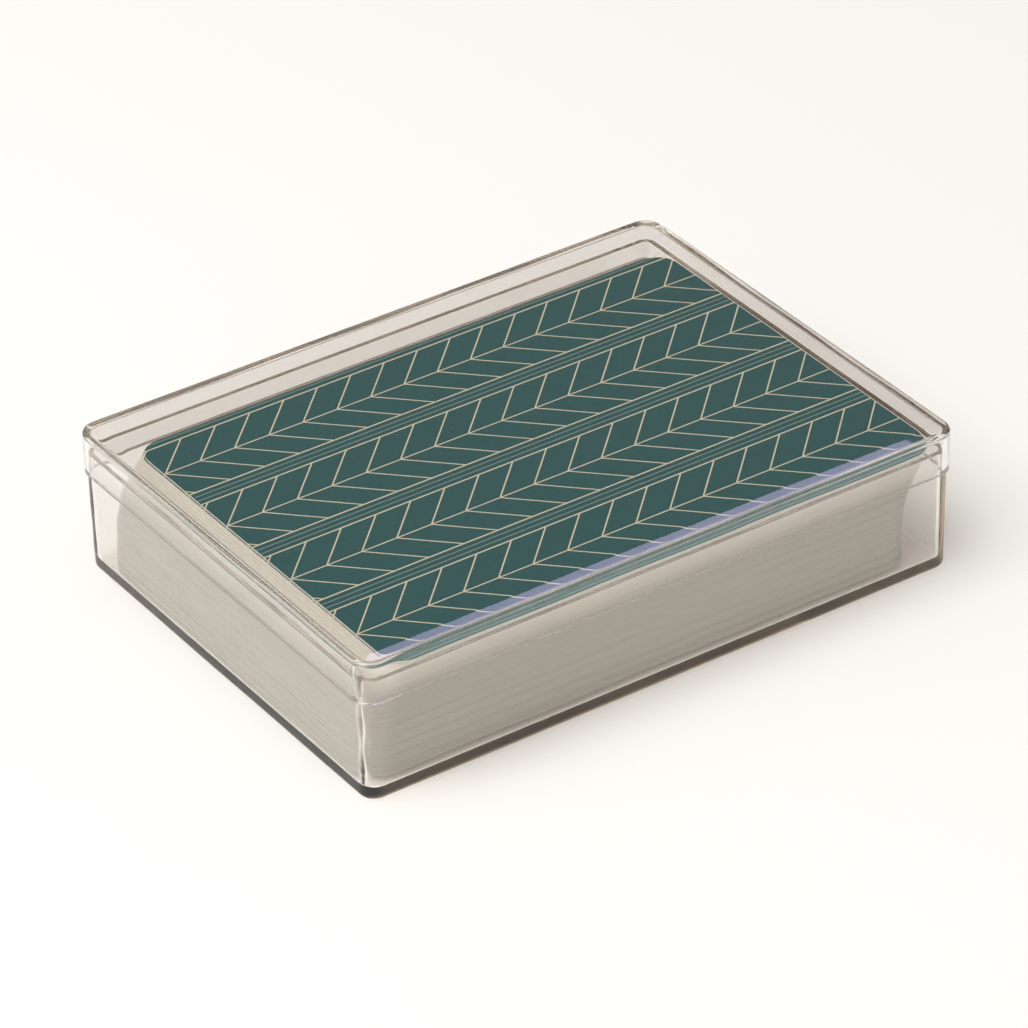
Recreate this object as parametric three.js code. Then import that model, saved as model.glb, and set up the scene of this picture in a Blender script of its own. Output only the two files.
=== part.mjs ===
// A clear moulded playing-card case with its deck: a stepped tray, a lift-off lid and 54 loose cards.
//
// Frame: millimetres, +Z up. The origin is the middle of the tray's underside, +X runs along the length and
// +Y across the width. Every wall is placed by its inset, its distance in from the lid's outer face.
import * as THREE from "three";

// Case
const CASE_LENGTH = 96;
const CASE_WIDTH = 71.5;
const CASE_HEIGHT = 22;
const CORNER_RADIUS = 3; // in plan, on the lid's outer face
const LEAST_RADIUS = 0.6; // in plan, on any inner corner
const ROUND_STEPS = 4; // steps in each rounded edge
const CORNER_STEPS = 3; // half the steps in each quarter turn of a plan corner

// Lid
const ROOF = 0.9;
const SKIRT = 1;
const SKIRT_BOTTOM = 15.5;
const TOP_EDGE_RADIUS = 0.45;
const TOP_DROP = 0.12; // how far the top falls away at its edge
const TOP_SLOPE = 2.4; // inset of the line where it starts to fall

// Tray
const FLOOR = 1.6;
const BOTTOM_EDGE_RADIUS = 1;
const LEDGE_GAP = 0.05; // between the tray's ledge and the skirt that sits on it
const TRAY_INSET = 0.35; // the tray's outer face just under the ledge
const DRAFT = 0.15; // how much further in the same face is at the bottom
const LIP_CLEARANCE = 0.15; // between the skirt and the lip that it slides over
const LIP = 0.75;
const RIM_HEIGHT = 18.8;

// Deck
const CARDS = 54;
const CARD_LENGTH = 88;
const CARD_WIDTH = 63;
const CARD_CORNER = 3.5;
const CARD_THICKNESS = 0.31;
const CARD_PITCH = 0.32;
const DECK_CLEARANCE = 0.02; // under the lowest card
const DECK_X = 1.75; // the top card has slid against one end and towards the front of the tray
const DECK_Y = -1.9;
const LEAN_X = -3.5; // how far the lowest card lies from the top one
const LEAN_Y = 1.2;
const LEAN_CURVE = 3; // the higher, the more of that lean is in the upper cards
const SLIP = 0.03; // how far single cards lie out of line
const LOW_SLIP = 0.1; // and how much more the lowest ones do
const TWIST = 0.0006; // how far single cards are turned, in radians

const lipInset = SKIRT + LIP_CLEARANCE;
const cavityInset = lipInset + LIP;
const ledgeHeight = SKIRT_BOTTOM - LEDGE_GAP;

const clearPlastic = new THREE.MeshStandardMaterial({
  color: 0xe4ddd2,
  roughness: 0.12,
  metalness: 0,
  transparent: true,
  opacity: 0.35,
});
const cardStock = new THREE.MeshStandardMaterial({ color: 0xd9d3c7, roughness: 0.6, metalness: 0 });
const cardBack = new THREE.MeshStandardMaterial({ color: 0x2d5a5c, roughness: 0.4, metalness: 0 });

// A rounded rectangle centred on the origin, drawn counter-clockwise.
function roundedRectangle(length, width, radius) {
  const x = length / 2 - radius;
  const y = width / 2 - radius;
  const shape = new THREE.Shape();
  shape.absarc(x, y, radius, 0, Math.PI / 2);
  shape.absarc(-x, y, radius, Math.PI / 2, Math.PI);
  shape.absarc(-x, -y, radius, Math.PI, Math.PI * 1.5);
  shape.absarc(x, -y, radius, Math.PI * 1.5, Math.PI * 2);
  shape.closePath();
  return shape;
}

// The case's outline at one inset, as points in the plane.
function outline(inset) {
  const radius = Math.max(CORNER_RADIUS - inset, LEAST_RADIUS);
  const shape = roundedRectangle(CASE_LENGTH - 2 * inset, CASE_WIDTH - 2 * inset, radius);
  const points = shape.getPoints(CORNER_STEPS);
  points.pop();
  return points;
}

// The levels of a quarter round between a level face and an upright one. side is 1 where the upright face
// runs up from the round, and -1 where it runs down.
function roundLevels(inset, z, radius, side) {
  const levels = [];
  for (let step = 0; step <= ROUND_STEPS; step += 1) {
    const angle = (step / ROUND_STEPS) * (Math.PI / 2);
    const inwards = radius * (1 - Math.sin(angle));
    const upright = radius * (1 - Math.cos(angle));
    levels.push({ inset: inset + inwards, z: z + side * upright });
  }
  return levels;
}

// One closed body whose skin passes through a list of levels, from a level face that looks down to one that
// looks up.
function shell(levels) {
  const rings = levels.map(({ inset, z }) => outline(inset).map((point) => [point.x, point.y, z]));
  const count = rings[0].length;
  const positions = rings.flat(2);
  const faces = [];
  for (let ring = 0; ring < rings.length - 1; ring += 1) {
    for (let at = 0; at < count; at += 1) {
      const here = ring * count + at;
      const next = ring * count + ((at + 1) % count);
      faces.push(here, next, next + count);
      faces.push(here, next + count, here + count);
    }
  }
  const lastRing = (rings.length - 1) * count;
  const downCentre = rings.length * count;
  const upCentre = downCentre + 1;
  positions.push(0, 0, levels[0].z);
  positions.push(0, 0, levels[levels.length - 1].z);
  for (let at = 0; at < count; at += 1) {
    const after = (at + 1) % count;
    faces.push(downCentre, after, at);
    faces.push(upCentre, lastRing + at, lastRing + after);
  }
  const geometry = new THREE.BufferGeometry();
  geometry.setAttribute("position", new THREE.Float32BufferAttribute(positions, 3));
  geometry.setIndex(faces);
  geometry.computeVertexNormals();
  return geometry;
}

// The tray: up the outside from the underside, in over the ledge, up and over the lip, and down to the floor.
function makeTray() {
  const geometry = shell([
    ...roundLevels(TRAY_INSET + DRAFT, 0, BOTTOM_EDGE_RADIUS, 1),
    { inset: TRAY_INSET, z: ledgeHeight },
    { inset: lipInset, z: ledgeHeight },
    { inset: lipInset, z: RIM_HEIGHT },
    { inset: cavityInset, z: RIM_HEIGHT },
    { inset: cavityInset, z: FLOOR },
  ]);
  const tray = new THREE.Mesh(geometry, clearPlastic);
  tray.name = "tray";
  return tray;
}

// The lid: from the underside of the roof down inside the skirt, out under it, and up to the top.
function makeLid() {
  const geometry = shell([
    { inset: SKIRT, z: CASE_HEIGHT - ROOF },
    { inset: SKIRT, z: SKIRT_BOTTOM },
    { inset: 0, z: SKIRT_BOTTOM },
    ...roundLevels(0, CASE_HEIGHT - TOP_DROP, TOP_EDGE_RADIUS, -1).reverse(),
    { inset: TOP_SLOPE, z: CASE_HEIGHT },
  ]);
  const lid = new THREE.Mesh(geometry, clearPlastic);
  lid.name = "lid";
  return lid;
}

// One card, counted from the bottom. The upper cards have slid along the stack, and single cards lie
// slightly out of line.
function makeCard(geometry, number) {
  const fromTop = (CARDS - number) / (CARDS - 1);
  const lean = 1 - (1 - fromTop) ** LEAN_CURVE;
  const slip = SLIP + LOW_SLIP * fromTop ** 5;
  const slipX = slip * Math.sin(number * 2.4);
  const slipY = slip * Math.sin(number * 5.1 + 1);
  const card = new THREE.Mesh(geometry, number === CARDS ? cardBack : cardStock);
  card.name = `card_${String(number).padStart(2, "0")}`;
  card.position.set(
    DECK_X + LEAN_X * lean + slipX,
    DECK_Y + LEAN_Y * lean + slipY,
    FLOOR + DECK_CLEARANCE + (number - 1) * CARD_PITCH,
  );
  card.rotation.z = TWIST * Math.sin(number * 3.7);
  return card;
}

function makeDeck() {
  const cardShape = roundedRectangle(CARD_LENGTH, CARD_WIDTH, CARD_CORNER);
  const geometry = new THREE.ExtrudeGeometry(cardShape, {
    depth: CARD_THICKNESS,
    bevelEnabled: false,
    curveSegments: CORNER_STEPS,
  });
  const deck = new THREE.Group();
  for (let number = 1; number <= CARDS; number += 1) {
    deck.add(makeCard(geometry, number));
  }
  return deck;
}

const cardCase = new THREE.Group();
cardCase.add(makeTray(), makeDeck(), makeLid());

export default cardCase;
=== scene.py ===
"""A clear moulded playing-card case and its deck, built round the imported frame. Lengths are in metres.

The CAD cards stay, with softened edges. The two cards whose backs can be seen get a printed ground and real
thin lines of ink on it, and the others are plain stock. The tray and lid are made again as finely rounded,
slightly wavy clear mouldings.
"""
import math

import bmesh
import bpy
from mathutils import Matrix, Vector
from mathutils.geometry import delaunay_2d_cdt


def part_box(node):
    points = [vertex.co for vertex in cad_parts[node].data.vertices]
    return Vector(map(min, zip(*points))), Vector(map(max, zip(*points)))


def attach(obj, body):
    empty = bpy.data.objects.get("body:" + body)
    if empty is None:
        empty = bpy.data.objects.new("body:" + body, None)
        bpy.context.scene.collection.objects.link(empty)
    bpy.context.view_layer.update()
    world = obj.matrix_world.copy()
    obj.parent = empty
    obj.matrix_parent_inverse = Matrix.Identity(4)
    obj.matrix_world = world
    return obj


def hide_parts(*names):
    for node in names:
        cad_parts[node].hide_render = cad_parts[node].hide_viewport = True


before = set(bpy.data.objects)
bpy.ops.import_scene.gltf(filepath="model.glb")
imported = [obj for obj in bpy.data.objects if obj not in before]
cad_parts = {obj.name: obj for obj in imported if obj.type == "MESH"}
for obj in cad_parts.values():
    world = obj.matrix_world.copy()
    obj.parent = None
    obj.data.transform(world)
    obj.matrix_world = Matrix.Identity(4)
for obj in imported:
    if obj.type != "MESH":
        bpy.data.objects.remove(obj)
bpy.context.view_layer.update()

MM = 0.001

# ---- Camera ----------------------------------------------------------------------------------------------
AZIMUTH = math.radians(-33.65)
ELEVATION = math.radians(33.12)
ROLL = math.radians(-1.467)
DISTANCE = 0.7777
SHIFT_RIGHT = -0.0006  # how far the camera stands to the right of the line to the origin, and above it
SHIFT_UP = 0.0068
SENSOR = 36.0
LENS = 198.7

# ---- Lights and room -------------------------------------------------------------------------------------
KEY_PLACE = (-0.62, 0.0, 0.95)
KEY_SIZE = (0.9, 0.9)
KEY_POWER = 9.6
KEY_COLOUR = (1.0, 0.99, 0.975)
WINDOW_PLACE = (0.62, 0.81, 0.80)  # faces straight down, where the front edge of the lid's top mirrors it
WINDOW_SIZE = (0.27, 0.09)
WINDOW_POWER = 0.24
WINDOW_COLOUR = (0.70, 0.60, 1.0)
ROOM_LOW = (0.80, 0.74, 0.66)
ROOM_HIGH = (0.82, 0.82, 0.81)
ROOM_STRENGTH = 0.74
WALL_COLOUR = (0.23, 0.145, 0.10)
DARK_WALL = (0.464, 0.697, 0.546)  # towards the middle of the wall that the lid's top mirrors to this camera
WALL_INNER = math.radians(13)  # the wall is at its darkest within this angle of its middle
WALL_OUTER = math.radians(26)  # and has faded into the room at this one
FLOOR_SIZE = 6
FLOOR_GAP = 0.0001  # between the floor and the tray's underside
FLOOR_COLOUR = (0.95, 0.945, 0.935)

# ---- The case's mouldings, as insets from the lid's outer face -------------------------------------------
ROOF = 0.9 * MM
SKIRT = 1.0 * MM
LEDGE_HEIGHT = 15.45 * MM
DRAFT = 0.15 * MM
LIP_INSET = 1.15 * MM
LIP = 0.75 * MM
TRAY_FLOOR = 1.6 * MM
PLAN_RADIUS = 3.0 * MM
LEAST_RADIUS = 0.6 * MM
BOTTOM_ROUND = 1.0 * MM
TOP_ROUND = 0.45 * MM
TOP_DROP = 0.06 * MM  # how far the lid's top falls at its edge; the CAD's 0.12 would bend the print below
TOP_SLOPE = 2.4 * MM  # inset of the line where it starts to fall
SLOPE_ROUND = 20 * MM
SMALL_ROUND = 0.16 * MM
INNER_ROUND = 0.4 * MM
CAP_INSET = 8.0 * MM  # where the flat middle of a floor or roof begins
ROUND_STEPS = 8
CORNER_STEPS = 14
LONG_STEPS = 56
SHORT_STEPS = 42
WALL_STEP = 1.2 * MM
WAVE = 0.06 * MM  # depth of the slow waves in the moulded walls
WAVES_ROUND = 9  # how many of them go round the case
WAVE_BY_INSET = 2  # how fast they change with inset, in radians per millimetre
WAVE_BY_HEIGHT = 400  # and with height, in radians per metre
SHARP = math.radians(40)  # an edge that turns by more than this is shaded as a sharp one

# ---- Clear plastic ---------------------------------------------------------------------------------------
REFRACTION = 1.57
PLASTIC_COLOUR = (0.98, 0.972, 0.96)
PLASTIC_SHADE = (0.97, 0.96, 0.95)  # what each face lets through to the cards and the floor
PLASTIC_DEPTH = (0.70, 0.60, 0.42)  # the tint that a long way through the plastic gives
PLASTIC_DENSITY = 30.0
BLURRED_BELOW = 0.0175  # the walls blur a little up to this height, and the lid is polished from the next
POLISHED_ABOVE = 0.0200
WALL_ROUGHNESS = 0.09
TOP_ROUGHNESS = 0.015

# ---- Cards and print -------------------------------------------------------------------------------------
CARD_LENGTH = 88 * MM
CARD_WIDTH = 63 * MM
CARD_CORNER = 3.5 * MM
CARD_CORNER_STEPS = 12
CARD_EDGE = 0.02 * MM
PRINTED = ("card_53", "card_54")  # the cards whose backs can be seen
PAINTED_SHADE_BELOW = 0.0145  # the stock is painted darker, as painted shade, up to this height in the deck, and lighter, as painted light from the lid's top, from the next
PAINTED_LIGHT_ABOVE = 0.0175
# the stock's colours under painted shade low in the deck, and under painted light at its top
STOCK_IN_PAINTED_SHADE = ((0.372, 0.358, 0.318), (0.475, 0.46, 0.415))
STOCK_IN_PAINTED_LIGHT = ((0.62, 0.60, 0.55), (0.76, 0.74, 0.69))
TEAL = ((0.006, 0.083, 0.094), (0.009, 0.097, 0.108))
PALE_GOLD = ((0.62, 0.57, 0.43), (0.76, 0.72, 0.58))
GREY_TEAL = ((0.20, 0.29, 0.27), (0.26, 0.36, 0.33))
ROWS = 4  # rows of chevrons across the card, with a band of lines on each side of a row
ROW_PITCH = CARD_WIDTH / ROWS
BAND_LINES = 4
BAND_GAP = 1.0 * MM  # between the lines of a band
CHEVRON_PITCH = 5.5 * MM
GOLD_LINE = 0.24 * MM
THIN_LINE = 0.16 * MM
CHEVRON_LINE = 0.20 * MM
OVERRUN = 1 * MM  # how far the lines run past the card's ends before they are cut
INK = 0.008 * MM  # how far the ink stands above the card
INK_ROOT = 0.004 * MM  # and how far it reaches into it
TIE_BREAK = 0.01  # the share of y that tells the two ends of a card's right side apart
LEAST_SIDE = 0.01  # a card's turn is read from that side only where it is longer than this
INSIDE_TRIANGLES = 1  # delaunay_2d_cdt's output type, and the distance in mm within which it joins points
JOINED_WITHIN = 1e-8


# ---- Camera and studio -----------------------------------------------------------------------------------
def make_camera():
    right = Vector((math.cos(AZIMUTH), math.sin(AZIMUTH), 0))
    back = Vector(
        (
            math.sin(AZIMUTH) * math.cos(ELEVATION),
            -math.cos(AZIMUTH) * math.cos(ELEVATION),
            math.sin(ELEVATION),
        )
    )
    up = back.cross(right)
    rolled_right = math.cos(ROLL) * right + math.sin(ROLL) * up
    rolled_up = math.cos(ROLL) * up - math.sin(ROLL) * right
    place = rolled_right * SHIFT_RIGHT + rolled_up * SHIFT_UP + back * DISTANCE
    data = bpy.data.cameras.new("camera")
    data.sensor_width = SENSOR
    data.lens = LENS
    data.clip_start = 0.02
    data.clip_end = 20
    camera = bpy.data.objects.new("camera", data)
    axes = Matrix((rolled_right, rolled_up, back)).transposed().to_4x4()
    camera.matrix_world = Matrix.Translation(place) @ axes
    bpy.context.scene.collection.objects.link(camera)
    bpy.context.scene.camera = camera


def area_light(name, place, target, size, power, colour):
    data = bpy.data.lights.new(name, "AREA")
    data.shape = "RECTANGLE"
    data.size, data.size_y = size
    data.energy = power
    data.color = colour
    light = bpy.data.objects.new(name, data)
    light.location = place
    light.rotation_euler = (Vector(target) - Vector(place)).to_track_quat("-Z", "Y").to_euler()
    bpy.context.scene.collection.objects.link(light)


def make_studio():
    scene = bpy.context.scene
    scene.view_settings.view_transform = "Standard"
    middle_of_case = (0, 0, 0.01)
    below_window = (*WINDOW_PLACE[:2], 0)
    area_light("key", KEY_PLACE, middle_of_case, KEY_SIZE, KEY_POWER, KEY_COLOUR)
    area_light("window", WINDOW_PLACE, below_window, WINDOW_SIZE, WINDOW_POWER, WINDOW_COLOUR)
    make_surroundings()
    scene.cycles.max_bounces = 32
    scene.cycles.transmission_bounces = 32
    scene.cycles.glossy_bounces = 16

    bpy.ops.mesh.primitive_plane_add(size=FLOOR_SIZE, location=(0, 0, -FLOOR_GAP))
    floor = bpy.context.object
    floor.name = "floor"
    floor.data.materials.append(floor_material())


def make_surroundings():
    """A pale warm room, paler higher up, with one dark wall that the lid's flat top reflects."""
    world = bpy.data.worlds.new("studio")
    world.use_nodes = True
    bpy.context.scene.world = world
    nodes, links = world.node_tree.nodes, world.node_tree.links
    place = nodes.new("ShaderNodeTexCoord")
    parts = nodes.new("ShaderNodeSeparateXYZ")
    links.new(place.outputs["Generated"], parts.inputs[0])
    room = two_colours(nodes, links, parts.outputs["Z"], ROOM_LOW, ROOM_HIGH)
    towards = nodes.new("ShaderNodeVectorMath")
    towards.operation = "DOT_PRODUCT"
    towards.inputs[1].default_value = DARK_WALL
    links.new(place.outputs["Generated"], towards.inputs[0])
    cosines = (math.cos(WALL_OUTER), math.cos(WALL_INNER))
    span = spread(nodes, links, towards.outputs["Value"], cosines, (0, 1))
    links.new(two_colours(nodes, links, span, room, WALL_COLOUR), nodes["Background"].inputs["Color"])
    nodes["Background"].inputs["Strength"].default_value = ROOM_STRENGTH


# ---- Materials -------------------------------------------------------------------------------------------
def new_material(name):
    material = bpy.data.materials.new(name)
    material.use_nodes = True
    nodes, links = material.node_tree.nodes, material.node_tree.links
    return material, nodes, links, nodes["Principled BSDF"]


def spread(nodes, links, value, source, result):
    """A number that runs over the result range as value runs over the source range."""
    span = nodes.new("ShaderNodeMapRange")
    span.inputs["From Min"].default_value, span.inputs["From Max"].default_value = source
    span.inputs["To Min"].default_value, span.inputs["To Max"].default_value = result
    links.new(value, span.inputs["Value"])
    return span.outputs["Result"]


def noise(nodes, links, scale, detail, stretch=(1, 1, 1)):
    """A noise value in the object's own space, in repeats per metre, stretched along each axis."""
    place = nodes.new("ShaderNodeTexCoord")
    mapping = nodes.new("ShaderNodeMapping")
    mapping.inputs["Scale"].default_value = stretch
    texture = nodes.new("ShaderNodeTexNoise")
    texture.inputs["Scale"].default_value = scale
    texture.inputs["Detail"].default_value = detail
    links.new(place.outputs["Object"], mapping.inputs[0])
    links.new(mapping.outputs[0], texture.inputs["Vector"])
    return texture.outputs["Fac"]


def noisy(nodes, links, value, low, high):
    """A number that runs from low to high as value runs over the middle of a noise."""
    return spread(nodes, links, value, (0.3, 0.7), (low, high))


def part_of(nodes, links, kind, axis):
    """One axis of the object's own coordinates or of its normal."""
    place = nodes.new("ShaderNodeTexCoord")
    parts = nodes.new("ShaderNodeSeparateXYZ")
    links.new(place.outputs[kind], parts.inputs[0])
    return parts.outputs[axis]


def by_height(nodes, links, heights, result):
    """A number that runs over the result range between two heights in the object's own space."""
    return spread(nodes, links, part_of(nodes, links, "Object", "Z"), heights, result)


def two_colours(nodes, links, value, first, second):
    """A mix of two colours by a value. Each is a tuple of three numbers or another node's output."""
    mix = nodes.new("ShaderNodeMix")
    mix.data_type = "RGBA"
    for socket, colour in ((mix.inputs[6], first), (mix.inputs[7], second)):
        if isinstance(colour, tuple):
            socket.default_value = (*colour, 1)
        else:
            links.new(colour, socket)
    links.new(value, mix.inputs[0])
    return mix.outputs[2]


def bump(nodes, links, shader, value, strength, distance):
    node = nodes.new("ShaderNodeBump")
    node.inputs["Strength"].default_value = strength
    node.inputs["Distance"].default_value = distance
    links.new(value, node.inputs["Height"])
    links.new(node.outputs[0], shader.inputs["Normal"])


def floor_material():
    material, *_, shader = new_material("pale_floor")
    shader.inputs["Base Color"].default_value = (*FLOOR_COLOUR, 1)
    shader.inputs["Roughness"].default_value = 0.7
    return material


def plastic_material():
    """Clear polystyrene: bends light, faintly warm, and lets light through to the cards."""
    material, nodes, links, shader = new_material("clear_polystyrene")
    shader.inputs["Base Color"].default_value = (*PLASTIC_COLOUR, 1)
    shader.inputs["Transmission Weight"].default_value = 1.0
    shader.inputs["IOR"].default_value = REFRACTION
    heights = (BLURRED_BELOW, POLISHED_ABOVE)
    blur = by_height(nodes, links, heights, (WALL_ROUGHNESS, TOP_ROUGHNESS))
    links.new(blur, shader.inputs["Roughness"])
    bump(nodes, links, shader, noise(nodes, links, 60, 2.0), 0.15, 0.0004)
    path = nodes.new("ShaderNodeLightPath")
    either = nodes.new("ShaderNodeMath")
    either.operation = "MAXIMUM"
    links.new(path.outputs["Is Shadow Ray"], either.inputs[0])
    links.new(path.outputs["Is Diffuse Ray"], either.inputs[1])
    through = nodes.new("ShaderNodeBsdfTransparent")
    through.inputs["Color"].default_value = (*PLASTIC_SHADE, 1)
    mix = nodes.new("ShaderNodeMixShader")
    links.new(either.outputs[0], mix.inputs[0])
    links.new(shader.outputs[0], mix.inputs[1])
    links.new(through.outputs[0], mix.inputs[2])
    links.new(mix.outputs[0], nodes["Material Output"].inputs["Surface"])
    depth = nodes.new("ShaderNodeVolumeAbsorption")
    depth.inputs["Color"].default_value = (*PLASTIC_DEPTH, 1)
    depth.inputs["Density"].default_value = PLASTIC_DENSITY
    links.new(depth.outputs[0], nodes["Material Output"].inputs["Volume"])
    return material


def stock_colour(nodes, links):
    """Warm white card, each card's cut edge a little lighter or darker than the next, with painted light on
    the cards at the top of the deck and painted shade on those below."""
    streak = noise(nodes, links, 1.0, 2.0, (60, 60, 2600))
    # painted light and shade: the stock is painted darker low in the deck and lighter at its top
    painted_light = by_height(nodes, links, (PAINTED_SHADE_BELOW, PAINTED_LIGHT_ABOVE), (0, 1))
    low = two_colours(nodes, links, streak, *STOCK_IN_PAINTED_SHADE)
    high = two_colours(nodes, links, streak, *STOCK_IN_PAINTED_LIGHT)
    return two_colours(nodes, links, painted_light, low, high)


def paper_surface(nodes, links, shader):
    fibre = noise(nodes, links, 2500, 3.0)
    links.new(noisy(nodes, links, fibre, 0.42, 0.6), shader.inputs["Roughness"])
    bump(nodes, links, shader, fibre, 0.15, 0.00003)


def stock_material():
    """The cards inside the deck, whose printed faces are never seen."""
    material, nodes, links, shader = new_material("card_stock")
    links.new(stock_colour(nodes, links), shader.inputs["Base Color"])
    paper_surface(nodes, links, shader)
    return material


def back_material():
    """A card with a faintly mottled teal print on top and bare stock on the cut edge and below."""
    material, nodes, links, shader = new_material("card_back")
    teal = two_colours(nodes, links, noise(nodes, links, 900, 4.0), *TEAL)
    top = nodes.new("ShaderNodeMath")
    top.operation = "GREATER_THAN"
    top.inputs[1].default_value = 0.9
    links.new(part_of(nodes, links, "Normal", "Z"), top.inputs[0])
    colour = two_colours(nodes, links, top.outputs[0], stock_colour(nodes, links), teal)
    links.new(colour, shader.inputs["Base Color"])
    shader.inputs["Specular IOR Level"].default_value = 0.25
    paper_surface(nodes, links, shader)
    return material


def ink_material(name, colours):
    """A line of ink, slightly uneven along its length."""
    material, nodes, links, shader = new_material(name)
    uneven = noise(nodes, links, 1400, 3.0)
    links.new(two_colours(nodes, links, uneven, *colours), shader.inputs["Base Color"])
    links.new(noisy(nodes, links, uneven, 0.32, 0.5), shader.inputs["Roughness"])
    return material


# ---- Clear mouldings -------------------------------------------------------------------------------------
def outline(half_x, half_y, radius):
    """The points of a rounded rectangle, counter-clockwise from the upper end of its right side. Each corner
    comes with the number of steps along the side before it."""
    points = []
    corners = (
        (half_x - radius, half_y - radius, SHORT_STEPS),
        (radius - half_x, half_y - radius, LONG_STEPS),
        (radius - half_x, radius - half_y, SHORT_STEPS),
        (half_x - radius, radius - half_y, LONG_STEPS),
    )
    for turn, (x, y, steps) in enumerate(corners):
        start = turn * math.pi / 2
        first = Vector((x + radius * math.cos(start), y + radius * math.sin(start)))
        if points:
            last = points[-1]
            points += [last.lerp(first, step / steps) for step in range(1, steps)]
        for step in range(CORNER_STEPS + 1):
            angle = start + step / CORNER_STEPS * math.pi / 2
            points.append(Vector((x + radius * math.cos(angle), y + radius * math.sin(angle))))
    last, first = points[-1], points[0]
    points += [last.lerp(first, step / SHORT_STEPS) for step in range(1, SHORT_STEPS)]
    return points


def rounded(corners):
    """A profile with its corners rounded. Each corner is (inset, z, radius)."""
    profile = [Vector(corners[0][:2])]
    for before, corner, after in zip(corners, corners[1:], corners[2:]):
        here = Vector(corner[:2])
        into = (Vector(before[:2]) - here).normalized()
        out = (Vector(after[:2]) - here).normalized()
        half = into.angle(out) / 2
        reach = corner[2] / math.tan(half)
        centre = here + (into + out).normalized() * (corner[2] / math.sin(half))
        start, end = here + into * reach - centre, here + out * reach - centre
        profile += walk(profile[-1], centre + start)
        for step in range(ROUND_STEPS + 1):
            spoke = start.lerp(end, step / ROUND_STEPS).normalized()
            profile.append(centre + spoke * corner[2])
    profile += walk(profile[-1], Vector(corners[-1][:2]))
    profile.append(Vector(corners[-1][:2]))
    return profile


def walk(start, end):
    """The points between two points of a profile, about a wall step apart, and close beside its ends."""
    gap = (end - start).length
    count = max(1, round(gap / WALL_STEP))
    shares = [step / count for step in range(1, count)]
    if gap > 4 * SMALL_ROUND:
        edge = SMALL_ROUND / gap
        shares = [edge, *[share for share in shares if edge < share < 1 - edge], 1 - edge]
    return [start.lerp(end, share) for share in shares]


def wave(a, b):
    """How far inwards a wall is moved at one place: slow, repeatable, and never outwards."""
    return WAVE * (0.5 + 0.25 * math.sin(a) + 0.25 * math.sin(1.7 * a + 2.3 * b + 0.8))


def moulding(name, half_x, half_y, corners):
    """A closed, slightly wavy shell whose skin follows a profile round the case, from a face that looks down
    to one that looks up."""
    mesh = bmesh.new()
    rings = []
    for inset, z in rounded(corners):
        radius = max(PLAN_RADIUS - inset, LEAST_RADIUS)
        points = outline(half_x - inset, half_y - inset, radius)
        ring = []
        for at, point in enumerate(points):
            turn = 2 * math.pi * at / len(points)
            inwards = wave(WAVES_ROUND * turn + WAVE_BY_INSET * inset / MM, WAVE_BY_HEIGHT * z)
            middle = Vector((point.x / half_x, point.y / half_y))
            ring.append(mesh.verts.new((point.x - middle.x * inwards, point.y - middle.y * inwards, z)))
        rings.append(ring)
    for low, high in zip(rings, rings[1:]):
        for at in range(len(low)):
            after = (at + 1) % len(low)
            mesh.faces.new((low[at], low[after], high[after], high[at]))
    mesh.faces.new(reversed(rings[0]))
    mesh.faces.new(rings[-1])
    for face in mesh.faces:
        face.smooth = True
    data = bpy.data.meshes.new(name)
    mesh.to_mesh(data)
    mesh.free()
    data.set_sharp_from_angle(angle=SHARP)
    piece = bpy.data.objects.new(name, data)
    bpy.context.scene.collection.objects.link(piece)
    return piece


def make_tray(plastic):
    low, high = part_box("tray")
    case_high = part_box("lid")[1]
    inset = case_high.x - high.x
    cavity = LIP_INSET + LIP
    corners = [
        (CAP_INSET, low.z, 0),
        (inset + DRAFT, low.z, BOTTOM_ROUND),
        (inset, LEDGE_HEIGHT, SMALL_ROUND),
        (LIP_INSET, LEDGE_HEIGHT, SMALL_ROUND),
        (LIP_INSET, high.z, SMALL_ROUND),
        (cavity, high.z, SMALL_ROUND),
        (cavity, TRAY_FLOOR, INNER_ROUND),
        (CAP_INSET, TRAY_FLOOR, 0),
    ]
    tray = moulding("tray_moulding", case_high.x, case_high.y, corners)
    tray.data.materials.append(plastic)
    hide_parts("tray")
    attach(tray, "tray")


def make_lid(plastic):
    low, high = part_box("lid")
    corners = [
        (CAP_INSET, high.z - ROOF, 0),
        (SKIRT, high.z - ROOF, INNER_ROUND),
        (SKIRT, low.z, SMALL_ROUND),
        (0, low.z, SMALL_ROUND),
        (0, high.z - TOP_DROP, TOP_ROUND),
        (TOP_SLOPE, high.z, SLOPE_ROUND),
        (CAP_INSET, high.z, 0),
    ]
    lid = moulding("lid_moulding", high.x, high.y, corners)
    lid.data.materials.append(plastic)
    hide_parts("lid")
    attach(lid, "lid")


# ---- The cards -------------------------------------------------------------------------------------------
def soften(card):
    """Rounds the card's cut edges, as a die leaves them."""
    weld = card.modifiers.new("weld", "WELD")
    weld.merge_threshold = 0.001 * MM
    bevel = card.modifiers.new("bevel", "BEVEL")
    bevel.width = CARD_EDGE
    bevel.segments = 2
    bevel.limit_method = "ANGLE"


def finish_cards():
    stock, back = stock_material(), back_material()
    for name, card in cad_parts.items():
        if name.startswith("card_"):
            card.data.materials.clear()
            card.data.materials.append(back if name in PRINTED else stock)
            soften(card)


# ---- The printed lines -----------------------------------------------------------------------------------
def ribbon(start, end, width):
    """A straight line as a quad."""
    along = (end - start).normalized()
    across = Vector((-along.y, along.x)) * width / 2
    return start - across, end - across, end + across, start + across


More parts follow.
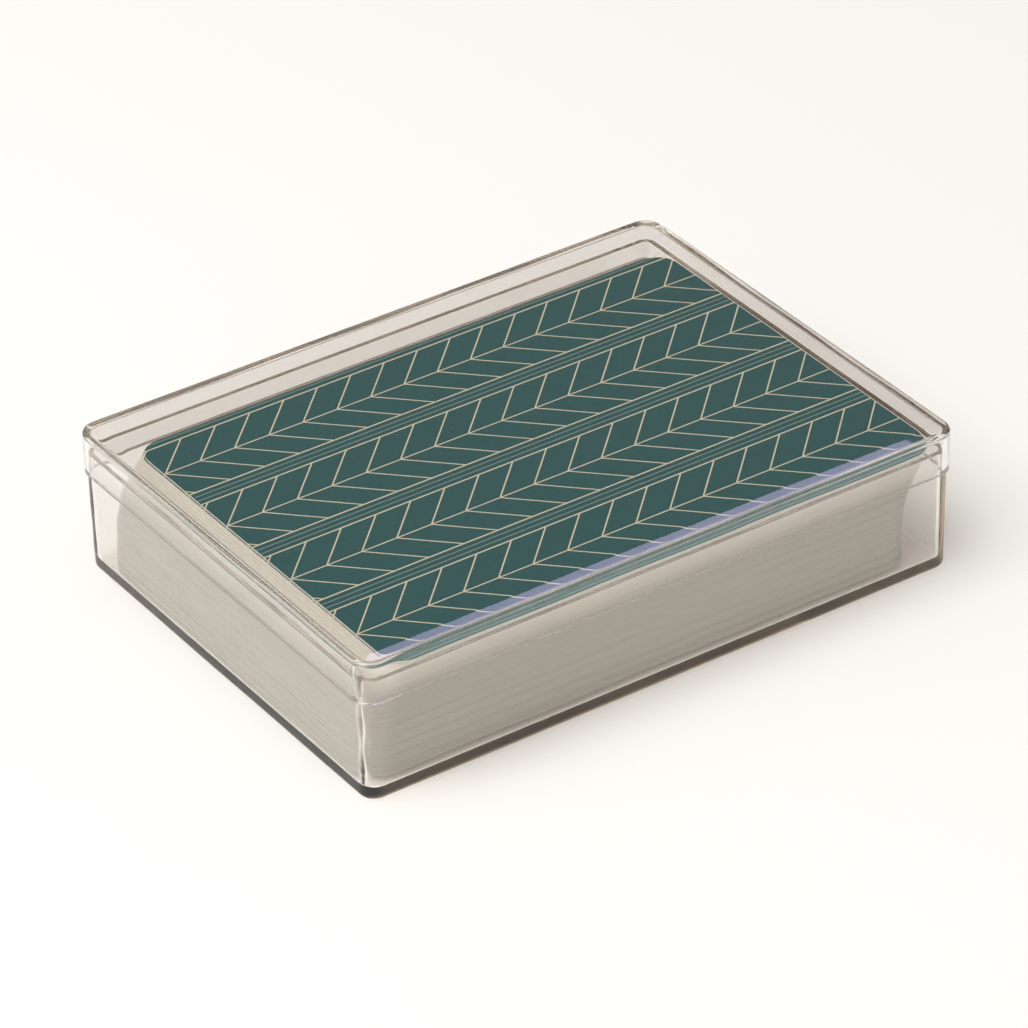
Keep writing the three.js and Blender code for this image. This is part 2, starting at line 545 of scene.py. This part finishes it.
def back_pattern():
    """Bands of straight lines along the card, and plain chevrons between them. Gives the quads of the gold
    lines and of the thin lines between them."""
    gold, thin = [], []
    end = CARD_LENGTH / 2 + OVERRUN
    band = (BAND_LINES - 1) / 2 * BAND_GAP
    for number in range(ROWS + 1):
        middle = number * ROW_PITCH - CARD_WIDTH / 2
        for step in range(BAND_LINES):
            y = middle - band + step * BAND_GAP
            ends = Vector((-end, y)), Vector((end, y))
            if step in (0, BAND_LINES - 1):
                gold.append(ribbon(*ends, GOLD_LINE))
            else:
                thin.append(ribbon(*ends, THIN_LINE))
    reach = ROW_PITCH / 2 - band
    chevrons = math.ceil((2 * end + reach) / CHEVRON_PITCH)
    for row in range(ROWS):
        stem = (row + 0.5) * ROW_PITCH - CARD_WIDTH / 2
        gold.append(ribbon(Vector((-end, stem)), Vector((end, stem)), CHEVRON_LINE))
        for number in range(chevrons):
            foot = Vector((end - reach - number * CHEVRON_PITCH, stem))
            for side in (-1, 1):
                gold.append(ribbon(foot, foot + Vector((reach, side * reach)), CHEVRON_LINE))
    return gold, thin


def card_outline():
    half_x, half_y = CARD_LENGTH / 2, CARD_WIDTH / 2
    points = []
    for turn, (x, y) in enumerate(((1, 1), (-1, 1), (-1, -1), (1, -1))):
        middle = Vector((x * (half_x - CARD_CORNER), y * (half_y - CARD_CORNER)))
        for step in range(CARD_CORNER_STEPS + 1):
            angle = (turn + step / CARD_CORNER_STEPS) * math.pi / 2
            points.append(middle + CARD_CORNER * Vector((math.cos(angle), math.sin(angle))))
    return points


def print_mesh():
    """The printed lines as one flat sheet cut to the card's outline, with gold and thin lines as two
    materials, then raised to the ink's thickness."""
    gold, thin = back_pattern()
    points, faces = [], []
    for polygon in (card_outline(), *gold, *thin):
        faces.append(list(range(len(points), len(points) + len(polygon))))
        points += [point / MM for point in polygon]
    made = delaunay_2d_cdt(points, [], faces, INSIDE_TRIANGLES, JOINED_WITHIN, True)
    new_points, new_faces, owners = made[0], made[2], made[5]
    mesh = bmesh.new()
    verts = [mesh.verts.new((point.x * MM, point.y * MM, -INK_ROOT)) for point in new_points]
    for corners, owner in zip(new_faces, owners):
        on_card = 0 in owner
        if on_card and len(owner) > 1:
            face = mesh.faces.new([verts[corner] for corner in corners])
            face.material_index = 0 if any(0 < one <= len(gold) for one in owner) else 1
    loose = [vert for vert in mesh.verts if not vert.link_faces]
    bmesh.ops.delete(mesh, geom=loose, context="VERTS")
    below = list(mesh.faces)
    raised = bmesh.ops.extrude_face_region(mesh, geom=below, use_keep_orig=True)
    lifted = [part for part in raised["geom"] if isinstance(part, bmesh.types.BMVert)]
    bmesh.ops.translate(mesh, verts=lifted, vec=(0, 0, INK + INK_ROOT))
    bmesh.ops.recalc_face_normals(mesh, faces=mesh.faces)
    data = bpy.data.meshes.new("printed_back")
    mesh.to_mesh(data)
    mesh.free()
    return data


def card_turn(card, middle):
    """How far a card is turned, from the two ends of its right side. A little of y tells them apart."""
    corners = [vert.co for vert in card.data.vertices if vert.co.z > middle]
    upper = max(corners, key=lambda point: point.x + TIE_BREAK * point.y)
    lower = max(corners, key=lambda point: point.x - TIE_BREAK * point.y)
    side = upper - lower
    return math.atan2(-side.x, side.y) if side.length > LEAST_SIDE else 0


def print_back(data, node, body):
    """The printed lines on one card, at the card's own place and turn."""
    low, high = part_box(node)
    centre = (low + high) / 2
    turn = card_turn(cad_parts[node], centre.z)
    piece = bpy.data.objects.new(f"{node}_print", data)
    bpy.context.scene.collection.objects.link(piece)
    piece.matrix_world = Matrix.Translation((centre.x, centre.y, high.z)) @ Matrix.Rotation(turn, 4, "Z")
    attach(piece, body)


def make_prints():
    data = print_mesh()
    data.materials.append(ink_material("pale_gold_ink", PALE_GOLD))
    data.materials.append(ink_material("grey_teal_ink", GREY_TEAL))
    print_back(data, "card_54", "top_card")
    print_back(data.copy(), "card_53", "deck")


make_camera()
make_studio()
finish_cards()
make_prints()
clear_plastic = plastic_material()
make_tray(clear_plastic)
make_lid(clear_plastic)
